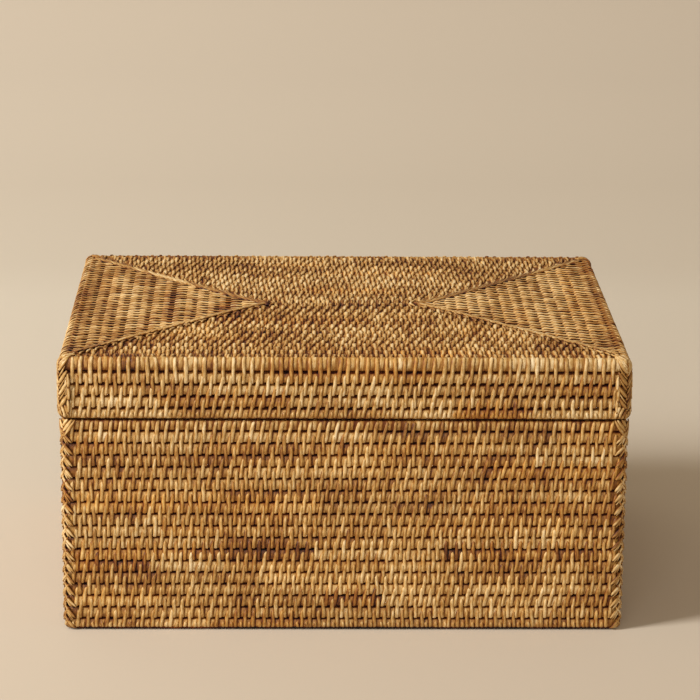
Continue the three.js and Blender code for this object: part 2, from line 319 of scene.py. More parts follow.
# %% The patterns of the stitches
# The line of a stitch is a row of points (out, up), and it has a width at each of them.
LONG = (
    (1.6, -4.3), (2.9, -3.3), (3.15, -0.6), (3.05, 2.6), (2.85, 4.5), (3.2, 6.9), (3.2, 9.4), (2.3, 11.0),
)
LONG_WIDTHS = (2.5, 3.05, 3.15, 3.0, 2.95, 2.95, 2.6, 1.4)
FROM_FOOT = ((1.6, -2.3), (2.6, -1.8), (3.0, -0.7), *LONG[3:])
TO_RIM = (*LONG[:5], (3.2, 7.2), (3.0, 10.5), (1.7, 12.1))
RIM_WIDTHS = (*LONG_WIDTHS[:6], 2.9, 2.3)
OVER_EDGE = (*LONG[:4], (2.9, 4.7), (3.15, 8.0), (2.9, 10.4), (2.1, 12.4), (0.7, 13.8), (-1.2, 14.1))
EDGE_WIDTHS = (*LONG_WIDTHS[:4], 3.0, 3.1, 3.1, 3.1, 2.9, 1.8)
RIM_TIP = ((1.6, -2.3), (2.6, -1.8), (3.15, -0.7), (3.15, 0.5), (2.3, 1.9))
TIP_WIDTHS = (2.3, 2.9, 3.0, 2.7, 1.3)
INSIDE = ((1.9, -4.2), (3.05, -2.6), (3.1, 2.6), (2.9, 4.5), (3.15, 7.6), (2.2, 10.4))
INSIDE_WIDTHS = (2.2, 2.8, 2.8, 2.8, 2.7, 1.3)
ON_NEAR_SIDE = (
    (1.4, -4.1), (2.5, -3.1), (2.9, -0.6), (2.7, 2.4), (2.6, 4.2), (3.3, 6.2), (3.7, 8.4), (2.7, 10.3),
)
NEAR_WIDTHS = (1.6, 2.1, 2.6, 2.8, 3.0, 3.4, 3.4, 2.2)
ON_FAR_SIDE = (
    (1.6, -4.1), (3.0, -3.0), (3.6, -0.8), (3.3, 1.8), (2.7, 4.0), (2.9, 6.4), (2.8, 8.6), (1.6, 10.2),
)
FAR_WIDTHS = (2.0, 3.1, 3.4, 3.3, 2.9, 2.4, 1.9, 1.2)
ON_TRIANGLE = (
    (1.7, -4.1), (2.8, -3.1), (3.2, -0.6), (3.15, 2.4), (3.1, 4.2), (3.35, 6.2), (3.35, 8.6), (2.6, 10.4),
)
TRIANGLE_WIDTHS = (2.2, 2.6, 2.75, 2.75, 2.8, 2.9, 2.8, 1.8)
ON_EDGE = ((1.6, 0.2), (3.7, 0.9), (4.2, 2.6), (3.85, 4.8), (3.85, 7.0), (3.7, 9.2), (2.8, 10.8))
BORDER_WIDTHS = (2.2, 2.8, 3.0, 2.9, 2.8, 2.5, 1.4)
STRIP_THICKNESS = 0.75
BENDS = ((-0.35, 0.1), (0.15, 0.3), (0.45, 0.0), (0.0, -0.25), (0.25, 0.45), (-0.1, 0.2))


def stitch_pattern(name, line, widths, bow, sway, **looks):
    """A pattern of one stitch, bowed and swayed sideways by that many millimetres."""
    draw = random.Random(name)
    path = []
    for i, (out, up) in enumerate(line):
        share = i / (len(line) - 1)
        aside = bow * math.sin(math.pi * share) + sway * math.sin(2 * math.pi * share)
        path.append(Vector((aside, -out, up)))
    widths = [width * draw.uniform(0.93, 1.07) for width in widths]
    bm = bmesh.new()
    lay_strip(bm, path, [Vector((1, 0, 0))] * len(path), widths, STRIP_THICKNESS, **looks)
    return finished_mesh(bm, name)


def pattern_set(name, line, widths, **looks):
    """A pattern of the stitch for each of the bends."""
    return [stitch_pattern(f"{name}_{i}", line, widths, *bend, **looks) for i, bend in enumerate(BENDS)]


LONG_STITCHES = pattern_set("long_stitch", LONG, LONG_WIDTHS)
FOOT_STITCHES = pattern_set("foot_stitch", FROM_FOOT, LONG_WIDTHS)
RIM_STITCHES = pattern_set("rim_stitch", TO_RIM, RIM_WIDTHS)
EDGE_STITCHES = pattern_set("edge_stitch", OVER_EDGE, EDGE_WIDTHS)
TIP_STITCHES = pattern_set("tip_stitch", RIM_TIP, TIP_WIDTHS)
INSIDE_STITCHES = pattern_set("inside_stitch", INSIDE, INSIDE_WIDTHS, back=PLAIN_BACK)
# Painted shade: the near stitches' starts and the far stitches' ends are painted dark, and so are the flanks
# of all panel stitches.
NEAR_STITCHES = pattern_set(
    "panel_stitch", ON_NEAR_SIDE, NEAR_WIDTHS, back=PANEL_BACK, start_dark=(1.3, 0.8, 0.35, 0.15),
)
FAR_STITCHES = pattern_set(
    "far_stitch", ON_FAR_SIDE, FAR_WIDTHS, back=PANEL_BACK, start_dark=(0.6, 0.1), end_dark=0.9,
)
TRIANGLE_STITCHES = pattern_set(
    "triangle_stitch", ON_TRIANGLE, TRIANGLE_WIDTHS, back=PANEL_BACK, start_dark=(0.7, 0.1), end_dark=0.2,
)
BORDER_STITCHES = pattern_set("border_stitch", ON_EDGE, BORDER_WIDTHS, back=PANEL_BACK)
print("a long stitch has", len(LONG_STITCHES[0].polygons), "faces")

# %% [markdown]
# ## Where the stitches go
#
# A course is a chain of straight runs. On a run the stitches stand a little under 7 mm apart, none of
# them quite upright or quite in place, because a hand set them. From one course to the next they move
# aside by rather less than half a step, so that the tips from below fall beside the stitches above.
#
# The splices come from a seeded random sequence: one strip's tone lasts for 5 to 20 stitches, and about
# one strip in twelve is dark and reddish.

# %% Runs, splices and stitches
STEP = 6.65
LEANS = (0.05, 0.16)
HAND_SPREAD, MOST_ASIDE = 0.33, 0.8
DARK_SHARE = 0.08
SPLICE_LENGTHS = (5, 20)
Run = namedtuple("Run", "start along length")
Stitch = namedtuple("Stitch", "at lean tone red")


def outward(along):
    """The side that faces out of a course that runs anticlockwise."""
    return Vector((along.y, -along.x, 0))


def within(value, lowest, highest):
    return min(max(value, lowest), highest)


def splices(draw, middle=0.57, redness=0.05, darkest=0.30):
    """Tone and redness, stitch after stitch: those of the strips on average, and the darkest strip's tone."""
    while True:
        tone = within(draw.gauss(middle, 0.10), 0.3, 0.8)
        red = max(draw.gauss(redness, 0.18), 0.0)
        if draw.random() < DARK_SHARE:
            tone, red = draw.uniform(darkest, darkest + 0.1), draw.uniform(0.3, 0.7)
        for _ in range(draw.randint(*SPLICE_LENGTHS)):
            yield tone + draw.gauss(0, 0.075), max(red + draw.gauss(0, 0.07), 0.0)


def stitches_on(run, first, last, phase, peel, draw, leans=LEANS):
    """The stitches of one run, from the distance first to the distance last along it. They stand on one
    lattice for the whole side of the box, moved aside by the phase, a share of a step."""
    origin = run.start.dot(run.along)
    place = math.ceil((origin + first) / STEP - phase)
    lean = draw.uniform(*leans)
    found = []
    while (place + phase) * STEP - origin <= last:
        at = (place + phase) * STEP - origin + within(draw.gauss(0, HAND_SPREAD), -MOST_ASIDE, MOST_ASIDE)
        lean = within(lean + draw.uniform(-0.03, 0.03), leans[0] - 0.04, leans[1] + 0.06)
        found.append(Stitch(at, lean, *next(peel)))
        place += 1
    return found


# %% [markdown]
# ## The bound canes
#
# Between the long stitches the binding shows as short wraps round the cane. They lie side by side, so
# they are made as one sleeve round the cane: a grid again, wrapped round the path of the course, whose
# surface swells at each wrap and dips on both sides of each long stitch, where painted shade darkens it.
# Sleeves of neighbouring canes touch in a deep groove, which keeps the wall tight, as the real one is,
# and painted shade darkens that groove too.

# %% The sleeve round a cane
# A section is a ring of points (out, up, swell, painted shade) round the middle of the cane, from its foot.
# The painted shade lies in the grooves where the canes touch.
HALF_COURSE = 4.45


def wall_section(groove):
    """The section of a wall's cane: its face ends that far from where the canes touch."""
    head = HALF_COURSE - groove
    return (
        (0.0, -HALF_COURSE, 0.0, 1.2), (2.1, -head, 0.0, 1.1), (2.85, 0.7 - head, 0.4, 0.12),
        (3.05, 0.0, 1.0, 0.0), (2.85, head - 0.7, 0.4, 0.12), (2.1, head, 0.0, 1.1),
        (0.0, HALF_COURSE, 0.0, 1.2), (-2.15, 3.85, 0.0, 0.95), (-2.9, 2.6, 0.5, 0.2),
        (-2.9, -2.6, 0.5, 0.2), (-2.15, -3.85, 0.0, 0.95),
    )


WALL_SECTION = wall_section(0.65)
LID_SECTION = wall_section(0.95)
# The foot's outer underside is painted nearly black: painted shade in the gap under the box.
FOOT_SECTION = (
    (-0.8, -3.9, 0.5, 0.1), (0.9, -3.9, 0.5, 0.3), (1.8, -3.9, 0.0, 1.7), (2.4, -2.5, 0.0, 1.7),
    (2.87, -1.8, 0.4, 0.12), *WALL_SECTION[3:-1], (-2.3, -3.7, 0.5, 0.2),
)

# The wraps between two stitches have four steps each: (share of the way, swell, painted shade). The painted
# shade darkens the dips beside the stitches.
WRAP_STEPS = ((0.22, -0.1, 0.5), (0.34, 0.3, 0.0), (0.66, 0.3, 0.0), (0.78, -0.1, 0.5))
NARROW_WRAP_STEPS = ((0.25, -0.3, 0.7), (0.38, 0.25, 0.0), (0.62, 0.25, 0.0), (0.75, -0.3, 0.7))
SMOOTH_WRAP_STEPS = ((0.24, 0.0, 0.4), (0.36, 0.35, 0.0), (0.64, 0.35, 0.0), (0.76, 0.0, 0.4))
PANEL_WRAP_STEPS = ((0.26, -0.6, 1.1), (0.39, 0.3, 0.1), (0.61, 0.3, 0.1), (0.74, -0.6, 1.1))
TRIANGLE_WRAP_STEPS = ((0.28, -0.9, 1.5), (0.42, 0.1, 0.5), (0.58, 0.1, 0.5), (0.72, -0.9, 1.5))
WRAP_TONE, WRAP_REDNESS = -0.06, 0.04
OVERRUN = 0.8
Station = namedtuple("Station", "centre out shear swell dark tone red")


def run_stations(run, stitches, wraps, wrap_tone=WRAP_TONE):
    """The stations of a sleeve on one run: the steps of the wraps between any two stitches, as far as
    they don't lie past the run's ends."""
    out = outward(run.along)
    found = []
    for here, after in zip(stitches, stitches[1:]):
        for share, swell, dark in wraps:
            at = here.at + share * (after.at - here.at)
            if -OVERRUN <= at <= run.length + OVERRUN:
                lean = here.lean + share * (after.lean - here.lean)
                centre = run.start + at * run.along
                tone, red = here.tone + wrap_tone, here.red + WRAP_REDNESS
                found.append(Station(centre, out, lean * run.along, swell, dark, tone, red))
    return found


def sleeve(bm, stations, section, closed):
    """A sleeve with that section round a row of stations."""
    grain, shade = shading_layers(bm)
    stations = [*stations, stations[0]] if closed else stations
    rows = wrapped_grid(bm, len(section), len(stations) - 1)
    girths = [0.0]
    for here, after in zip(section, (*section[1:], section[0])):
        girths.append(girths[-1] + math.hypot(after[0] - here[0], after[1] - here[1]))
    travelled = 0.0
    for i, (row, station) in enumerate(zip(rows, stations)):
        travelled += (station.centre - stations[max(i - 1, 0)].centre).length
        for vert, (out, up, swell, dark), girth in zip(row, (*section, section[0]), girths):
            reach = 1 + station.swell * swell / math.hypot(out, up)
            vert.co = station.centre + out * reach * station.out + up * reach * UP + up * station.shear
            vert[grain] = (travelled, girth, 0)
            vert[shade] = (station.tone, station.red, max(dark, station.dark))
    verts = [vert for row in rows for vert in row]
    bmesh.ops.remove_doubles(bm, verts=verts, dist=1e-4)


# %% [markdown]
# ## Stamping
#
# A stitch is set on the wall by a matrix: its x axis runs along the course, its -y axis out of the wall
# and its z axis towards the next cane. The same patterns serve the inside of the wall and both faces of
# the panels, with other axes. Before each stamp the pattern is given its own tone.

# %% Stamping the stitches
STITCH_PALE = 0.05


def stamp(bm, pattern, axes, place, tone, red):
    """Adds a pattern to the bmesh, turned to those axes and moved to that place."""
    matrix = Matrix.Translation(place) @ Matrix(axes).transposed().to_4x4()
    shade = pattern.attributes["shade"].data
    for point in shade:
        point.vector = (tone, red, point.vector[2])
    pattern.transform(matrix)
    bm.from_mesh(pattern)
    pattern.transform(matrix.inverted())


def stamp_run(bm, run, stitches, patterns, across, out, up, draw, aside=0.0, size=1.0, painted_light=0.0):
    """Stamps the stitches of a run. across, out and up are the pattern's directions there."""
    for stitch in stitches:
        width = draw.uniform(0.88, 1.1)
        lean = stitch.lean + draw.gauss(0, 0.018)
        axes = (size * width * across, -size * out, size * draw.uniform(0.95, 1.01) * (up + lean * across))
        place = run.start + (stitch.at + aside) * run.along
        stamp(bm, draw.choice(patterns), axes, place, stitch.tone + STITCH_PALE + painted_light, stitch.red)


def measures(node):
    """The lowest and highest corner of a CAD node, in millimetres."""
    return tuple(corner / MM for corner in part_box(node))


def new_piece(bm, name, body, material, nodes=()):
    """The finished piece: its mesh in metres, riding on its body and standing for its CAD nodes."""
    mesh = finished_mesh(bm, name)
    mesh.transform(Matrix.Scale(MM, 4))
    mesh.materials.append(material)
    piece = bpy.data.objects.new(name, mesh)
    bpy.context.scene.collection.objects.link(piece)
    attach(piece, body)
    if nodes:
        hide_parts(*nodes)


# %% [markdown]
# ## A course
#
# A course of the wall is a closed ring: four straight runs and four tight bends. Its sleeve follows the
# runs from stitch to stitch and the bends in a few steps, and then the stitches are stamped on, outside
# and inside. The bends themselves carry no stitches, because the corner plaits cover them.

# %% Dressing a course
WALL_THICKNESS = 7.8
CORNER_RADIUS = 9.0
BEND_STEPS = 6
BEND_TONE = -0.1
# How far a cut face swells, and the little painted shade it keeps.
CUT_SWELL, CUT_PAINTED_SHADE = 0.9, 0.05


def course_runs(node, thickness, radius):
    """The four straight runs of a ring's middle line, anticlockwise from the front."""
    low, high = measures(node)
    x, y, z = high.x - radius, high.y - radius, (low.z + high.z) / 2
    near = radius - thickness / 2
    starts = ((-x, -y - near, z), (x + near, -y, z), (x, y + near, z), (-x - near, y, z))
    alongs = ((1, 0, 0), (0, 1, 0), (-1, 0, 0), (0, -1, 0))
    sides = zip(starts, alongs, (2 * x, 2 * y, 2 * x, 2 * y))
    return [Run(Vector(start), Vector(along), length) for start, along, length in sides]


def bend_stations(run, radius, tone, red):
    """The stations round the bend that follows a run."""
    out = outward(run.along)
    centre = run.start + run.length * run.along - radius * out
    found = []
    for i in range(1, BEND_STEPS):
        angle = i * math.pi / 2 / BEND_STEPS
        turned = math.cos(angle) * out + math.sin(angle) * run.along
        # The bends get a little painted shade.
        found.append(Station(centre + radius * turned, turned, Vector(), 0.0, 0.1, tone, red))
    return found


def between(section, lowest=-math.inf, highest=math.inf):
    """The section with its foot or its head cut flat, because no cane follows. The peel shows on the cut
    without painted shade, and only its outer edge keeps its painted shade."""
    found = []
    for out, up, swell, dark in section:
        if out < 1 and not lowest <= up <= highest:
            swell, dark = CUT_SWELL, CUT_PAINTED_SHADE
        found.append((out, within(up, lowest, highest), swell, dark))
    return tuple(found)


def bound_course(node, body, section, phase, outer=None, inside=None, tips=None, over=None,
                 wraps=WRAP_STEPS, thickness=WALL_THICKNESS, radius=CORNER_RADIUS, size=1.0, margin=-2.4,
                 leans=LEANS, wrap_tone=WRAP_TONE, middle=0.57, redness=0.0, darkest=0.30):
    """Dresses one ring: a sleeve, the stitches outside and inside, the tips at a foot and the stitches
    over its back. Stitches keep the margin from the bends, or reach into them if it is below 0."""
    draw = random.Random(node)
    peel = splices(draw, middle, redness, darkest)
    bm = bmesh.new()
    shading_layers(bm)
    stations = []
    for run in course_runs(node, thickness, radius):
        stitches = stitches_on(run, margin, run.length - margin, phase, peel, draw, leans)
        stations += run_stations(run, stitches, wraps, wrap_tone)
        last = stitches[-1]
        stations += bend_stations(run, radius - thickness / 2, last.tone + BEND_TONE, last.red)
        out = outward(run.along)
        rows = (
            (outer, stitches, run.along, out, UP, 0.0),
            (inside, stitches, -run.along, -out, UP, 0.5),
            (tips, stitches, run.along, out, UP, -0.42),
            (over, stitches[1:-1], run.along, UP, -out, 0.45),
        )
        for patterns, row, across, facing, up, steps_aside in rows:
            if patterns:
                stamp_run(bm, run, row, patterns, across, facing, up, draw, steps_aside * STEP, size)
    sleeve(bm, stations, section, closed=True)
    new_piece(bm, "bound_" + node, body, binding_finish, [node])


# %% [markdown]
# ## The walls
#
# The base has 18 courses and the lid 4 and a stouter one along its edge. The rows of stitches drift to
# the right from course to course, by the share of a step that the phase adds up. Where the lid meets the
# base no cane follows, so the canes on both sides of that seam are cut flat.

# %% The walls of the base and the lid
BASE_COURSES, LID_COURSES = 18, 4
SEAM = 3.3
RIM_SHIFT = 0.14
LOWER_COURSES, LOWER_TONE, UPPER_TONE, BASE_REDNESS = 11, 0.58, 0.55, 0.27
LID_TONE, LID_REDNESS, LID_DARKEST = 0.63, -0.1, 0.44
LID_LEANS, EDGE_LEANS = (0.05, 0.14), (0.01, 0.06)
drift = random.Random("drift")
phases = [0.0]
for _ in range(BASE_COURSES + LID_COURSES + 2):
    phases.append(phases[-1] + drift.uniform(0.38, 0.47))


def base_looks(i):
    """The section and the stitches of a course of the base, counted from the table up."""
    if i == 1:
        return {"section": FOOT_SECTION, "outer": FOOT_STITCHES, "tips": TIP_STITCHES}
    if i == BASE_COURSES:
        return {"section": between(WALL_SECTION, highest=SEAM), "wraps": NARROW_WRAP_STEPS}
    outer = RIM_STITCHES if i == BASE_COURSES - 1 else LONG_STITCHES
    return {"section": WALL_SECTION, "outer": outer, "inside": INSIDE_STITCHES}


def lid_looks(i):
    """The same for a course of the lid's side, counted from its rim up."""
    if i == LID_COURSES:
        return {"section": LID_SECTION, "outer": EDGE_STITCHES, "leans": EDGE_LEANS}
    looks = {"section": LID_SECTION, "outer": LONG_STITCHES, "inside": INSIDE_STITCHES, "leans": LID_LEANS}
    if i == 1:
        looks.update(section=between(LID_SECTION, lowest=-SEAM), outer=FOOT_STITCHES, tips=TIP_STITCHES)
    return looks


for i in range(1, BASE_COURSES + 1):
    phase = phases[i - 1] + RIM_SHIFT if i == BASE_COURSES else phases[i]
    tone = LOWER_TONE if i <= LOWER_COURSES else UPPER_TONE
    bound_course(
        f"base_course_{i:02d}", "base", phase=phase, middle=tone, redness=BASE_REDNESS, **base_looks(i),
    )
for i in range(1, LID_COURSES + 1):
    bound_course(
        f"lid_side_course_{i}", "lid", phase=phases[BASE_COURSES + i],
        middle=LID_TONE, redness=LID_REDNESS, darkest=LID_DARKEST, **lid_looks(i),
    )
print("wall courses:", BASE_COURSES, "in the base and", LID_COURSES, "in the lid's side")

# %% [markdown]
# The edge course is stouter and has a rounded shoulder. The long stitches of the course below climb over
# its face and its shoulder, its own wraps show between them, and a row of stitches on its back binds it
# to the lid's top.

# %% The edge of the lid
# The inner face and the underside of the edge course carry painted shade.
EDGE_SECTION = (
    (0.0, -5.4, 0.0, 1.0), (2.2, -4.75, 0.0, 0.95), (2.85, -3.7, 0.4, 0.35), (3.0, -1.4, 1.0, 0.0),
    (2.8, 0.7, 1.0, 0.0), (2.05, 2.5, 0.9, 0.0), (0.8, 3.75, 0.6, 0.0), (-1.4, 4.3, 0.4, 0.0),
    (-3.3, 3.9, 0.0, 0.5), (-4.5, 1.2, 0.0, 1.0), (-4.3, -1.5, 0.0, 1.0), (-2.6, -4.6, 0.0, 1.0),
)
EDGE_THICKNESS = 8.4
EDGE_TONE, EDGE_WRAP_TONE = 0.6, -0.02
bound_course(
    "lid_edge_course", "lid", EDGE_SECTION, phases[BASE_COURSES + LID_COURSES], over=BORDER_STITCHES,
    wraps=SMOOTH_WRAP_STEPS, thickness=EDGE_THICKNESS, leans=EDGE_LEANS, wrap_tone=EDGE_WRAP_TONE,
    middle=EDGE_TONE, darkest=LID_DARKEST,
)

# %% [markdown]
# ## The lip
#
# Four slimmer courses are lashed inside the rim of the base and keep the lid in place. They show when
# the lid is off. Their sleeves and stitches are the wall's, made smaller. Outside, only the stitches
# that rise above the rim are made.

# %% The lip
LIP_COURSES = 4
LIP_SIZE, LIP_DEPTH = 0.75, 0.72
LIP_TOP = 3.0
LIP_TONE = 0.55
lip_section = tuple((LIP_DEPTH * out, LIP_SIZE * up, swell, dark) for out, up, swell, dark in WALL_SECTION)
for i in range(1, LIP_COURSES + 1):
    top = i == LIP_COURSES
    bound_course(
        f"lip_course_{i}", "base", between(lip_section, highest=LIP_TOP) if top else lip_section, 0.4 * i,
        outer=LONG_STITCHES if i in (2, 3) else None, inside=None if top else INSIDE_STITCHES,
        thickness=5.4, radius=6.0, size=LIP_SIZE, margin=0.0, middle=LIP_TONE,
    )
print("lip courses:", LIP_COURSES)

# %% [markdown]
# ## The panels
#
# The lid's top and the floor are one cane each, wound into a flat rectangle from the middle outwards.
# Where the cane turns, the runs meet in mitres, and the wraps change direction there: that is what draws
# the two triangles on the lid. The stitches reach from each turn to the turn inside it.

# %% Dressing a panel
TURNS = 16
PANEL_GAP = 0.6
PANEL_DRIFT = -0.42
MITRE_CLEAR = 7.5
PANEL_TONE, PANEL_DARKEST = 0.72, 0.37
# Painted light: the right triangle's stitches are painted paler.
RIGHT_PAINTED_LIGHT = 0.05
UNDERSIDE_SIZE = 0.944
PANEL_SECTION = tuple((0.94 * up, -out, swell, dark) for out, up, swell, dark in reversed(WALL_SECTION))


def coil_corners(node):
    """The corners of the spiral's middle line, from the middle outwards, with its pitch and half the
    length of its first straight."""
    low, high = measures(node)
    pitch = (-low.y + PANEL_GAP / 2) / (TURNS + 0.5)
    middle = -low.x + PANEL_GAP / 2 - (TURNS + 0.5) * pitch
    z = (low.z + high.z) / 2
    corners = [Vector((-middle, 0, z))]
    for turn in range(1, TURNS + 1):
        x, y = middle + turn * pitch, turn * pitch
        corners += [Vector((x, pitch - y, z)), Vector((x, y, z)), Vector((-x, y, z)), Vector((-x, -y, z))]
    corners.append(Vector((x + pitch / 2, -y, z)))
    return corners, pitch, middle


def coil_runs(corners):
    pairs = zip(corners, corners[1:])
    return [Run(here, (after - here).normalized(), (after - here).length) for here, after in pairs]


def panel_looks(along):
    """The stitches, the wraps and the painted light of a run that goes that way. The runs on the near
    side go to the right and those on the far side to the left. The right triangle's stitches are painted
    paler: painted light."""
    if abs(along.y) > 0.5:
        return TRIANGLE_STITCHES, TRIANGLE_WRAP_STEPS, RIGHT_PAINTED_LIGHT if along.y > 0 else 0.0
    return NEAR_STITCHES if along.x > 0 else FAR_STITCHES, PANEL_WRAP_STEPS, 0.0


def bound_panel(node, body, seed):
    """Dresses a coil: the sleeve is one piece, and the stitches of each face are another."""
    draw = random.Random(f"{node} {seed}")
    peel = splices(draw, PANEL_TONE, 0.0, PANEL_DARKEST)
    corners, pitch, _ = coil_corners(node)
    runs = coil_runs(corners)
    faces = {"top": bmesh.new(), "underside": bmesh.new()}
    stations = []
    for i, run in enumerate(runs):
        turn = (i + 3) // 4
        out = outward(run.along)
        clear = min(MITRE_CLEAR, 0.4 * run.length)
        stitches = stitches_on(run, clear, run.length - clear, PANEL_DRIFT * turn, peel, draw)
        patterns, wraps, painted_light = panel_looks(run.along)
        if i:
            before = stations[-1]
            mitre = outward(runs[i - 1].along) + out
            # The station at the mitre gets painted shade.
            stations.append(Station(corners[i], mitre, Vector(), 0.0, 0.5, before.tone, before.red))
        stations += run_stations(run, stitches, wraps)
        # The first run has no stitches underneath, and those on top have a random sequence of their own.
        chance = draw if i else random.Random(node)
        stamp_run(faces["top"], run, stitches, patterns, run.along, UP, -out, chance, painted_light=painted_light)
        if i:
            stamp_run(
                faces["underside"], run, stitches, INSIDE_STITCHES, -run.along, -UP, -out, draw,
                aside=STEP / 2, size=UNDERSIDE_SIZE,
            )
    first, last = stations[0], stations[-1]
    bm = bmesh.new()
    stations = [first._replace(centre=corners[0]), *stations, last._replace(centre=corners[-1])]
    sleeve(bm, stations, PANEL_SECTION, closed=False)
    bmesh.ops.holes_fill(bm, edges=[edge for edge in bm.edges if edge.is_boundary], sides=0)
    new_piece(bm, "bound_" + node, body, binding_finish, [node])
    for face, stitched in faces.items():
        new_piece(stitched, f"{node}_{face}_stitches", body, binding_finish)
    return pitch


floor_pitch = bound_panel("floor_coil", "base", 1)
top_pitch = bound_panel("lid_top_coil", "lid", 91)
print("the panels' canes lie", round(floor_pitch, 2), "and", round(top_pitch, 2), "mm apart")

# %% [markdown]
# ## The plaits
#
# Over each corner the binding strips of the two walls are plaited into a chain of chevrons, so that the
# bend of every cane is hidden. On the lid they point down, on the base up. A strip is laid on the bent
# surface by its distance from the corner, its height and its lift, and the surface says where that is in
# space.

# %% Strips on a surface
PLAIT_THICKNESS = 0.9


def lay_on(bm, surface, points, widths, tone, red):
    """A strip along points (a, b, lift) of a surface."""
    path = [surface(a, b, lift) for a, b, lift in points]
    sides = []
    for i, (a, b, lift) in enumerate(points):
        along = path[min(i + 1, len(path) - 1)] - path[max(i - 1, 0)]
        normal = surface(a, b, lift + 1) - path[i]
        sides.append(along.cross(normal).normalized())
    lay_strip(bm, path, sides, widths, PLAIT_THICKNESS, tone, red)


def corner_surface(centre, side_x, side_y, low, high, foot, shoulder):
    """The outside of a corner, bent in over its foot and its shoulder with those radii."""
    def surface(a, b, lift):
        straight = max(abs(a) - CORNER_RADIUS * math.pi / 4, 0)
        angle = math.atan2(side_y, side_x) + math.copysign(abs(a) - straight, a) / CORNER_RADIUS
        turned, rounding, level = 0.0, 0.0, b
        if b > high - shoulder:
            turned, rounding, level = (b - high + shoulder) / shoulder, shoulder, high - shoulder
        elif b < low + foot:
            turned, rounding, level = (b - low - foot) / foot, foot, low + foot
        past = max(abs(turned) - math.pi / 2, 0) * rounding
        turned = within(turned, -math.pi / 2, math.pi / 2)
        reach = CORNER_RADIUS - rounding + (rounding + lift) * math.cos(turned) - past
        out = Vector((math.cos(angle), math.sin(angle), 0))
        aside = math.copysign(straight, a) * Vector((-out.y, out.x, 0))
        return centre + reach * out + aside + (level + (rounding + lift) * math.sin(turned)) * UP
    return surface


# %% [markdown]
# Two rows of arms cross at the chain's spine. An arm starts at the height of its foot, a little aside of
# the spine, rises or falls by its rise and ends as far aside as it reaches. With a bend above 1 it goes
# aside first and then climbs. On the lid the spine lies a little clockwise of the corner, seen from
# above, and upright leaves stand on both sides of the chain.

# %% The corner plaits
Arm = namedtuple("Arm", "foot reach rise aside bend")
ARM_WIDTHS = (1.2, 2.3, 2.9, 3.0, 2.9, 2.2, 1.0)
ARM_STEP = 8.8
ARM_LIFT, FOOT_LIFT = 0.15, 0.4
ARM_PALE, LEAF_PALE = 0.08, 0.06
LEAF_SIZE = 0.95
LID_SPINE = -1.6
STAGGER = 1.1


def lay_arm(bm, surface, side, arm, tone, red, size, spine):
    """One strip of a plait, on that side of the spine. It lies highest at its foot."""
    line = []
    for i in range(len(ARM_WIDTHS)):
        share = i / (len(ARM_WIDTHS) - 1)
        a = spine + side * (arm.aside + (arm.reach - arm.aside) * share)
        line.append((a, arm.foot + arm.rise * share ** arm.bend, ARM_LIFT + FOOT_LIFT * (1 - share)))
    lay_on(bm, surface, line, [width * size for width in ARM_WIDTHS], tone, red)


def lid_arms(low, high):
    """Up from the spine; the top ones climb over the shoulder, and the lowest curl under the foot."""
    arms = [(Arm(low + 9.5, 7.6, -8.8, 4.2, 1.6), 1.0), (Arm(low + 8.2, 4.6, -7.9, 1.5, 1.7), 1.0)]
    arms.append((Arm(low + 6.2, 2.4, -6.0, -0.4, 1.7), 1.0))
    foot = low + 7.0
    while foot < high - 11:
        arms += [(Arm(foot, 6.4, 10.6, -0.8, 1.15), 1.12), (Arm(foot + 4.6, 5.6, 9.0, -0.2, 1.15), 0.5)]
        foot += ARM_STEP
    arms += [(Arm(high - 10.5, 7.4, 14.0, -0.6, 1.1), 1.1), (Arm(high - 7.4, 9.8, 15.5, -0.6, 1.1), 1.0)]
    arms += [(Arm(high - 3.8, 7.8, 13.0, -0.4, 1.1), 1.0), (Arm(high - 0.6, 6.0, 10.5, -0.2, 1.0), 1.1)]
    return arms


def base_arms(low, high):
    """Down from the spine, and up to the rim at the top."""
    arms = []
    foot = low + 9.4
    while foot < high - 7.4:
        arms += [(Arm(foot - 5.4, 3.0, -5.4, 0.3, 0.9), 0.5), (Arm(foot - 3.0, 4.8, -8.4, -1.0, 0.85), 0.5)]
        arms.append((Arm(foot, 6.6, -10.4, -2.2, 0.8), 1.0))
        foot += ARM_STEP
    arms += [(Arm(high - 14.5, 8.2, 13.8, -0.6, 1.1), 1.0), (Arm(high - 10.0, 6.2, 9.4, -0.5, 1.1), 1.0)]
    arms.append((Arm(high - 6.0, 3.6, 5.5, -0.3, 1.1), 1.0))
    return arms


def corner_signs(node):
    """1 or -1 for the x and the y of a plait's corner."""
    low, high = measures(node)
    return math.copysign(1, low.x + high.x), math.copysign(1, low.y + high.y)


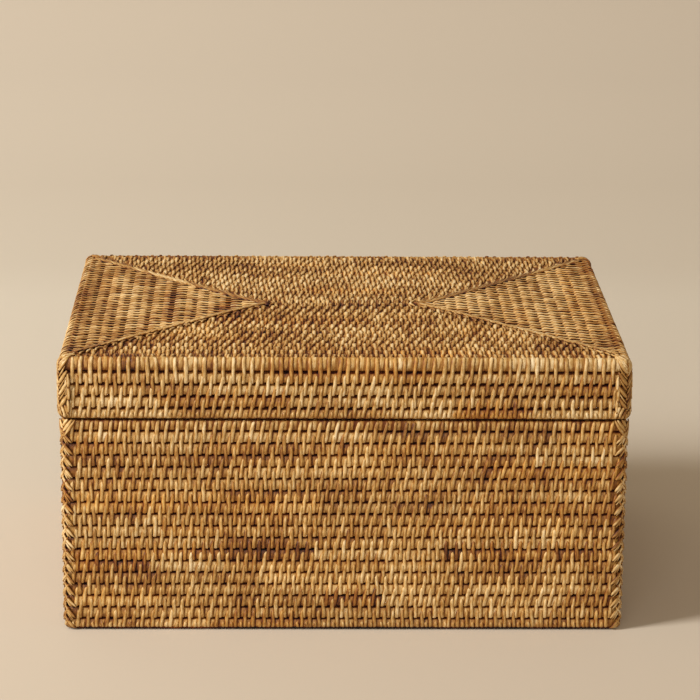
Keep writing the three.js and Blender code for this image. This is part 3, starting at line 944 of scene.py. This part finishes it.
def corner_plait(node, body, arms, low, high, foot, shoulder, grooves):
    """One corner's chain of chevrons, with an upright leaf on both sides of it at each groove."""
    draw = random.Random(node)
    side_x, side_y = corner_signs(node)
    _, wall_high = measures("base_course_09" if body == "base" else "lid_side_course_2")
    centre = Vector((side_x * (wall_high.x - CORNER_RADIUS), side_y * (wall_high.y - CORNER_RADIUS), 0))
    surface = corner_surface(centre, side_x, side_y, low, high, foot, shoulder)
    spine = LID_SPINE if body == "lid" else 0.0
    bm = bmesh.new()
    peel = splices(draw)
    for side in (-1, 1):
        for groove in grooves:
            tone, red = next(peel)
            aside = draw.uniform(5.8, 7.8)
            height = groove - 3.4 + draw.uniform(-0.8, 0.8)
            leaf = Arm(height, aside + draw.uniform(-0.9, 0.3), 10.4, aside, 1.0)
            lay_arm(bm, surface, side, leaf, tone + LEAF_PALE, red, LEAF_SIZE, spine)
    for arm, size in arms:
        for side in (-1, 1):
            tone, red = next(peel)
            moved = (STAGGER if side * side_x * side_y > 0 else -STAGGER) + draw.uniform(-0.5, 0.5)
            aim = arm._replace(foot=arm.foot + moved, reach=arm.reach + draw.uniform(-0.6, 0.6))
            lay_arm(bm, surface, side, aim, tone + ARM_PALE, red, size * draw.uniform(0.9, 1.05), spine)
    new_piece(bm, "strips_of_" + node, body, plait_finish, [node])


CORNERS = ("front_left", "front_right", "back_right", "back_left")
lid_grooves = [measures(f"lid_side_course_{i}")[0].z for i in range(2, LID_COURSES + 1)]
rim_height = measures("base_course_18")[1].z
lid_foot, lid_top = measures("lid_side_course_1")[0].z, measures("lid_edge_course")[1].z
for corner in CORNERS:
    corner_plait(
        f"base_plait_{corner}", "base", base_arms(0.0, rim_height),
        low=1.4, high=rim_height + 5, foot=2.5, shoulder=5.0, grooves=(),
    )
    corner_plait(
        f"lid_plait_{corner}", "lid", lid_arms(lid_foot, lid_top),
        low=lid_foot, high=lid_top - 1.2, foot=5.0, shoulder=6.0, grooves=lid_grooves,
    )
print("corner plaits:", 2 * len(CORNERS))

# %% [markdown]
# Along the mitres of the panels the strips bend round from one side to the next. On the side of the
# triangle they lie almost along the diagonal and make a smooth ridge, and on the other side their ends
# hook away from it and become the next stitches.
#
# The triangles' tips are drawn out towards the middle of the panel, as in the photo: the plaits lean
# inwards over their first 30 mm. A short strip is laid across each tip and closes it.

# %% The mitre plaits
# A strip's points are (distance along the diagonal, distance across it, width).
RIDGE = (
    (0.0, 5.4, 1.2), (3.8, 4.8, 2.4), (7.8, 4.0, 2.9), (11.6, 3.0, 2.9), (15.2, 2.0, 2.6), (18.5, 1.1, 1.4),
)
HOOK = (
    (0.0, -0.3, 1.0), (2.4, -0.6, 1.9), (4.6, -1.3, 2.3), (6.4, -2.6, 2.3), (7.8, -4.0, 2.0),
    (8.9, -5.2, 1.1),
)
RIDGE_STEP, RIDGE_LIFT = 5.4, 3.4
HOOK_STEP, HOOK_LIFT = 7.9, 3.1
TIP_REACH, TIP_FADE = 5.5, 30.0
TIP_LIFT, TIP_PALE = 4.0, 0.12
# The points of the strip across the tip are (distance to the back, distance outwards, width).
TIP_STRIP = ((5.0, 4.2, 1.0), (2.2, 1.6, 2.0), (-0.6, 0.8, 2.4), (-3.2, 1.3, 2.2), (-5.6, 3.0, 1.0))


def mitre_plait(node, body, coil, face):
    """The ridge and the hooks along one diagonal of a panel, on its top (face 1) or its underside (-1).
    The two front ones also carry the strips across the tips."""
    draw = random.Random(node)
    side_x, side_y = corner_signs(node)
    corners, pitch, middle = coil_corners(coil)
    start = Vector((side_x * (middle + pitch / 4), 0, corners[0].z))
    reach = (TURNS - 0.25) * pitch * math.sqrt(2)
    along = Vector((side_x, side_y, 0)).normalized()
    across = Vector((side_x, -side_y, 0)).normalized()

    def surface(a, b, lift):
        inwards = side_x * TIP_REACH * max(1 - b / TIP_FADE, 0) ** 2
        return start + b * along + a * across + face * lift * UP - Vector((inwards, 0, 0))

    bm = bmesh.new()
    peel = splices(draw)
    for line, step, lift in ((HOOK, HOOK_STEP, HOOK_LIFT), (RIDGE, RIDGE_STEP, RIDGE_LIFT)):
        for i in range(int((reach + 2) / step) + 2):
            tone, red = next(peel)
            b0 = (i - 1.2) * step + draw.uniform(-0.7, 0.7)
            spread = draw.uniform(0.85, 1.1)
            spots = [(a * spread, b0 + b, lift + 0.1 * k, width) for k, (b, a, width) in enumerate(line)]
            spots = [spot for spot in spots if -1.5 < spot[1] < reach + 3]
            if len(spots) > 2:
                lay_on(bm, surface, [spot[:3] for spot in spots], [spot[3] for spot in spots], tone, red)
    if side_y < 0:
        tone, red = next(peel)
        tip = surface(0, 0, TIP_LIFT)
        path = [tip + Vector((side_x * x, y, 0)) for y, x, _ in TIP_STRIP]
        sides = []
        for i in range(len(path)):
            run = path[min(i + 1, len(path) - 1)] - path[max(i - 1, 0)]
            sides.append(run.cross(face * UP).normalized())
        lay_strip(bm, path, sides, [spot[2] for spot in TIP_STRIP], PLAIT_THICKNESS, tone + TIP_PALE, red)
    new_piece(bm, "strips_of_" + node, body, plait_finish, [node])


for corner in CORNERS:
    mitre_plait(f"floor_mitre_{corner}", "base", "floor_coil", -1)
    mitre_plait(f"lid_mitre_{corner}", "lid", "lid_top_coil", 1)
print("mitre plaits:", 2 * len(CORNERS))

# %% [markdown]
# ## The studio
#
# The box stands on a pale floor that rises behind it in one smooth sweep. A tall soft lamp stands on the
# left, a little in front of the box, and a weak wide one in front of it, so the shadow falls softly to
# the right. The room's own light is warm.

# %% Floor, backdrop and light
PAPER_TONES = ((0.0, (0.525, 0.442, 0.338)), (0.6, (0.635, 0.572, 0.463)), (1.0, (0.535, 0.460, 0.360)))
PAPER_FROM, PAPER_TO = -0.3, 1.45
PAPER_WIDTH = 24.0
PAPER_BELOW = 0.0004
ROOM_LIGHT, ROOM_COLOUR = 0.42, (1.0, 0.83, 0.64, 1)


def paper_finish(name):
    """Plain paper, paler behind the box, where less light falls."""
    material = bpy.data.materials.new(name)
    material.use_nodes = True
    tree = material.node_tree
    shader = tree.nodes["Principled BSDF"]
    place = tree.nodes.new("ShaderNodeTexCoord").outputs["Object"]
    _, depth, _ = add(tree, "ShaderNodeSeparateXYZ", i0=place).outputs
    share = add(tree, "ShaderNodeMapRange", i0=depth, i1=PAPER_FROM, i2=PAPER_TO).outputs[0]
    ramp = add(tree, "ShaderNodeValToRGB", Fac=share)
    spread_tones(ramp.color_ramp.elements, PAPER_TONES)
    tree.links.new(ramp.outputs[0], shader.inputs["Base Color"])
    shader.inputs["Roughness"].default_value = 0.9
    return material


def sweep_of_paper():
    """The floor and the backdrop: a line bent once, drawn out sideways."""
    bm = bmesh.new()
    heights = [(-12.0, 0.0), (0.9, 0.0), (1.15, 0.03), (1.35, 0.12), (1.5, 0.3), (1.56, 0.55), (1.58, 3.0)]
    verts = [bm.verts.new((-PAPER_WIDTH / 2, y, z - PAPER_BELOW)) for y, z in heights]
    edges = [bm.edges.new(pair) for pair in zip(verts, verts[1:])]
    made = bmesh.ops.extrude_edge_only(bm, edges=edges)["geom"]
    moved = [part for part in made if isinstance(part, bmesh.types.BMVert)]
    bmesh.ops.translate(bm, vec=(PAPER_WIDTH, 0, 0), verts=moved)
    return finished_mesh(bm, "paper")


paper = bpy.data.objects.new("paper", sweep_of_paper())
paper.data.materials.append(paper_finish("paper"))
bpy.context.scene.collection.objects.link(paper)


def soft_lamp(name, place, aim, width, height, power, colour):
    """A lamp of that width and height, in metres, that stands at the place and shines towards the aim."""
    lamp = bpy.data.objects.new(name, bpy.data.lights.new(name, "AREA"))
    bpy.context.scene.collection.objects.link(lamp)
    lamp.data.shape = "RECTANGLE"
    lamp.data.size, lamp.data.size_y = width, height
    lamp.data.energy = power
    lamp.data.color = colour
    turn = (Vector(aim) - Vector(place)).to_track_quat("-Z", "Y").to_matrix().to_4x4()
    lamp.matrix_world = Matrix.Translation(place) @ turn


soft_lamp("key", (-2.4, -1.05, 2.0), (0, 0, 0.1), 0.7, 1.8, 125, (0.99, 0.99, 1.0))
soft_lamp("fill", (-0.3, -2.7, 1.0), (0, 0, 0.1), 1.6, 1.0, 16, (1.0, 0.985, 0.96))
world = bpy.data.worlds.new("studio")
bpy.context.scene.world = world
world.use_nodes = True
background = world.node_tree.nodes["Background"].inputs
background["Color"].default_value = ROOM_COLOUR
background["Strength"].default_value = ROOM_LIGHT
bpy.context.scene.view_settings.view_transform = "Standard"
print("lamps: a key, a fill and the room's own light")
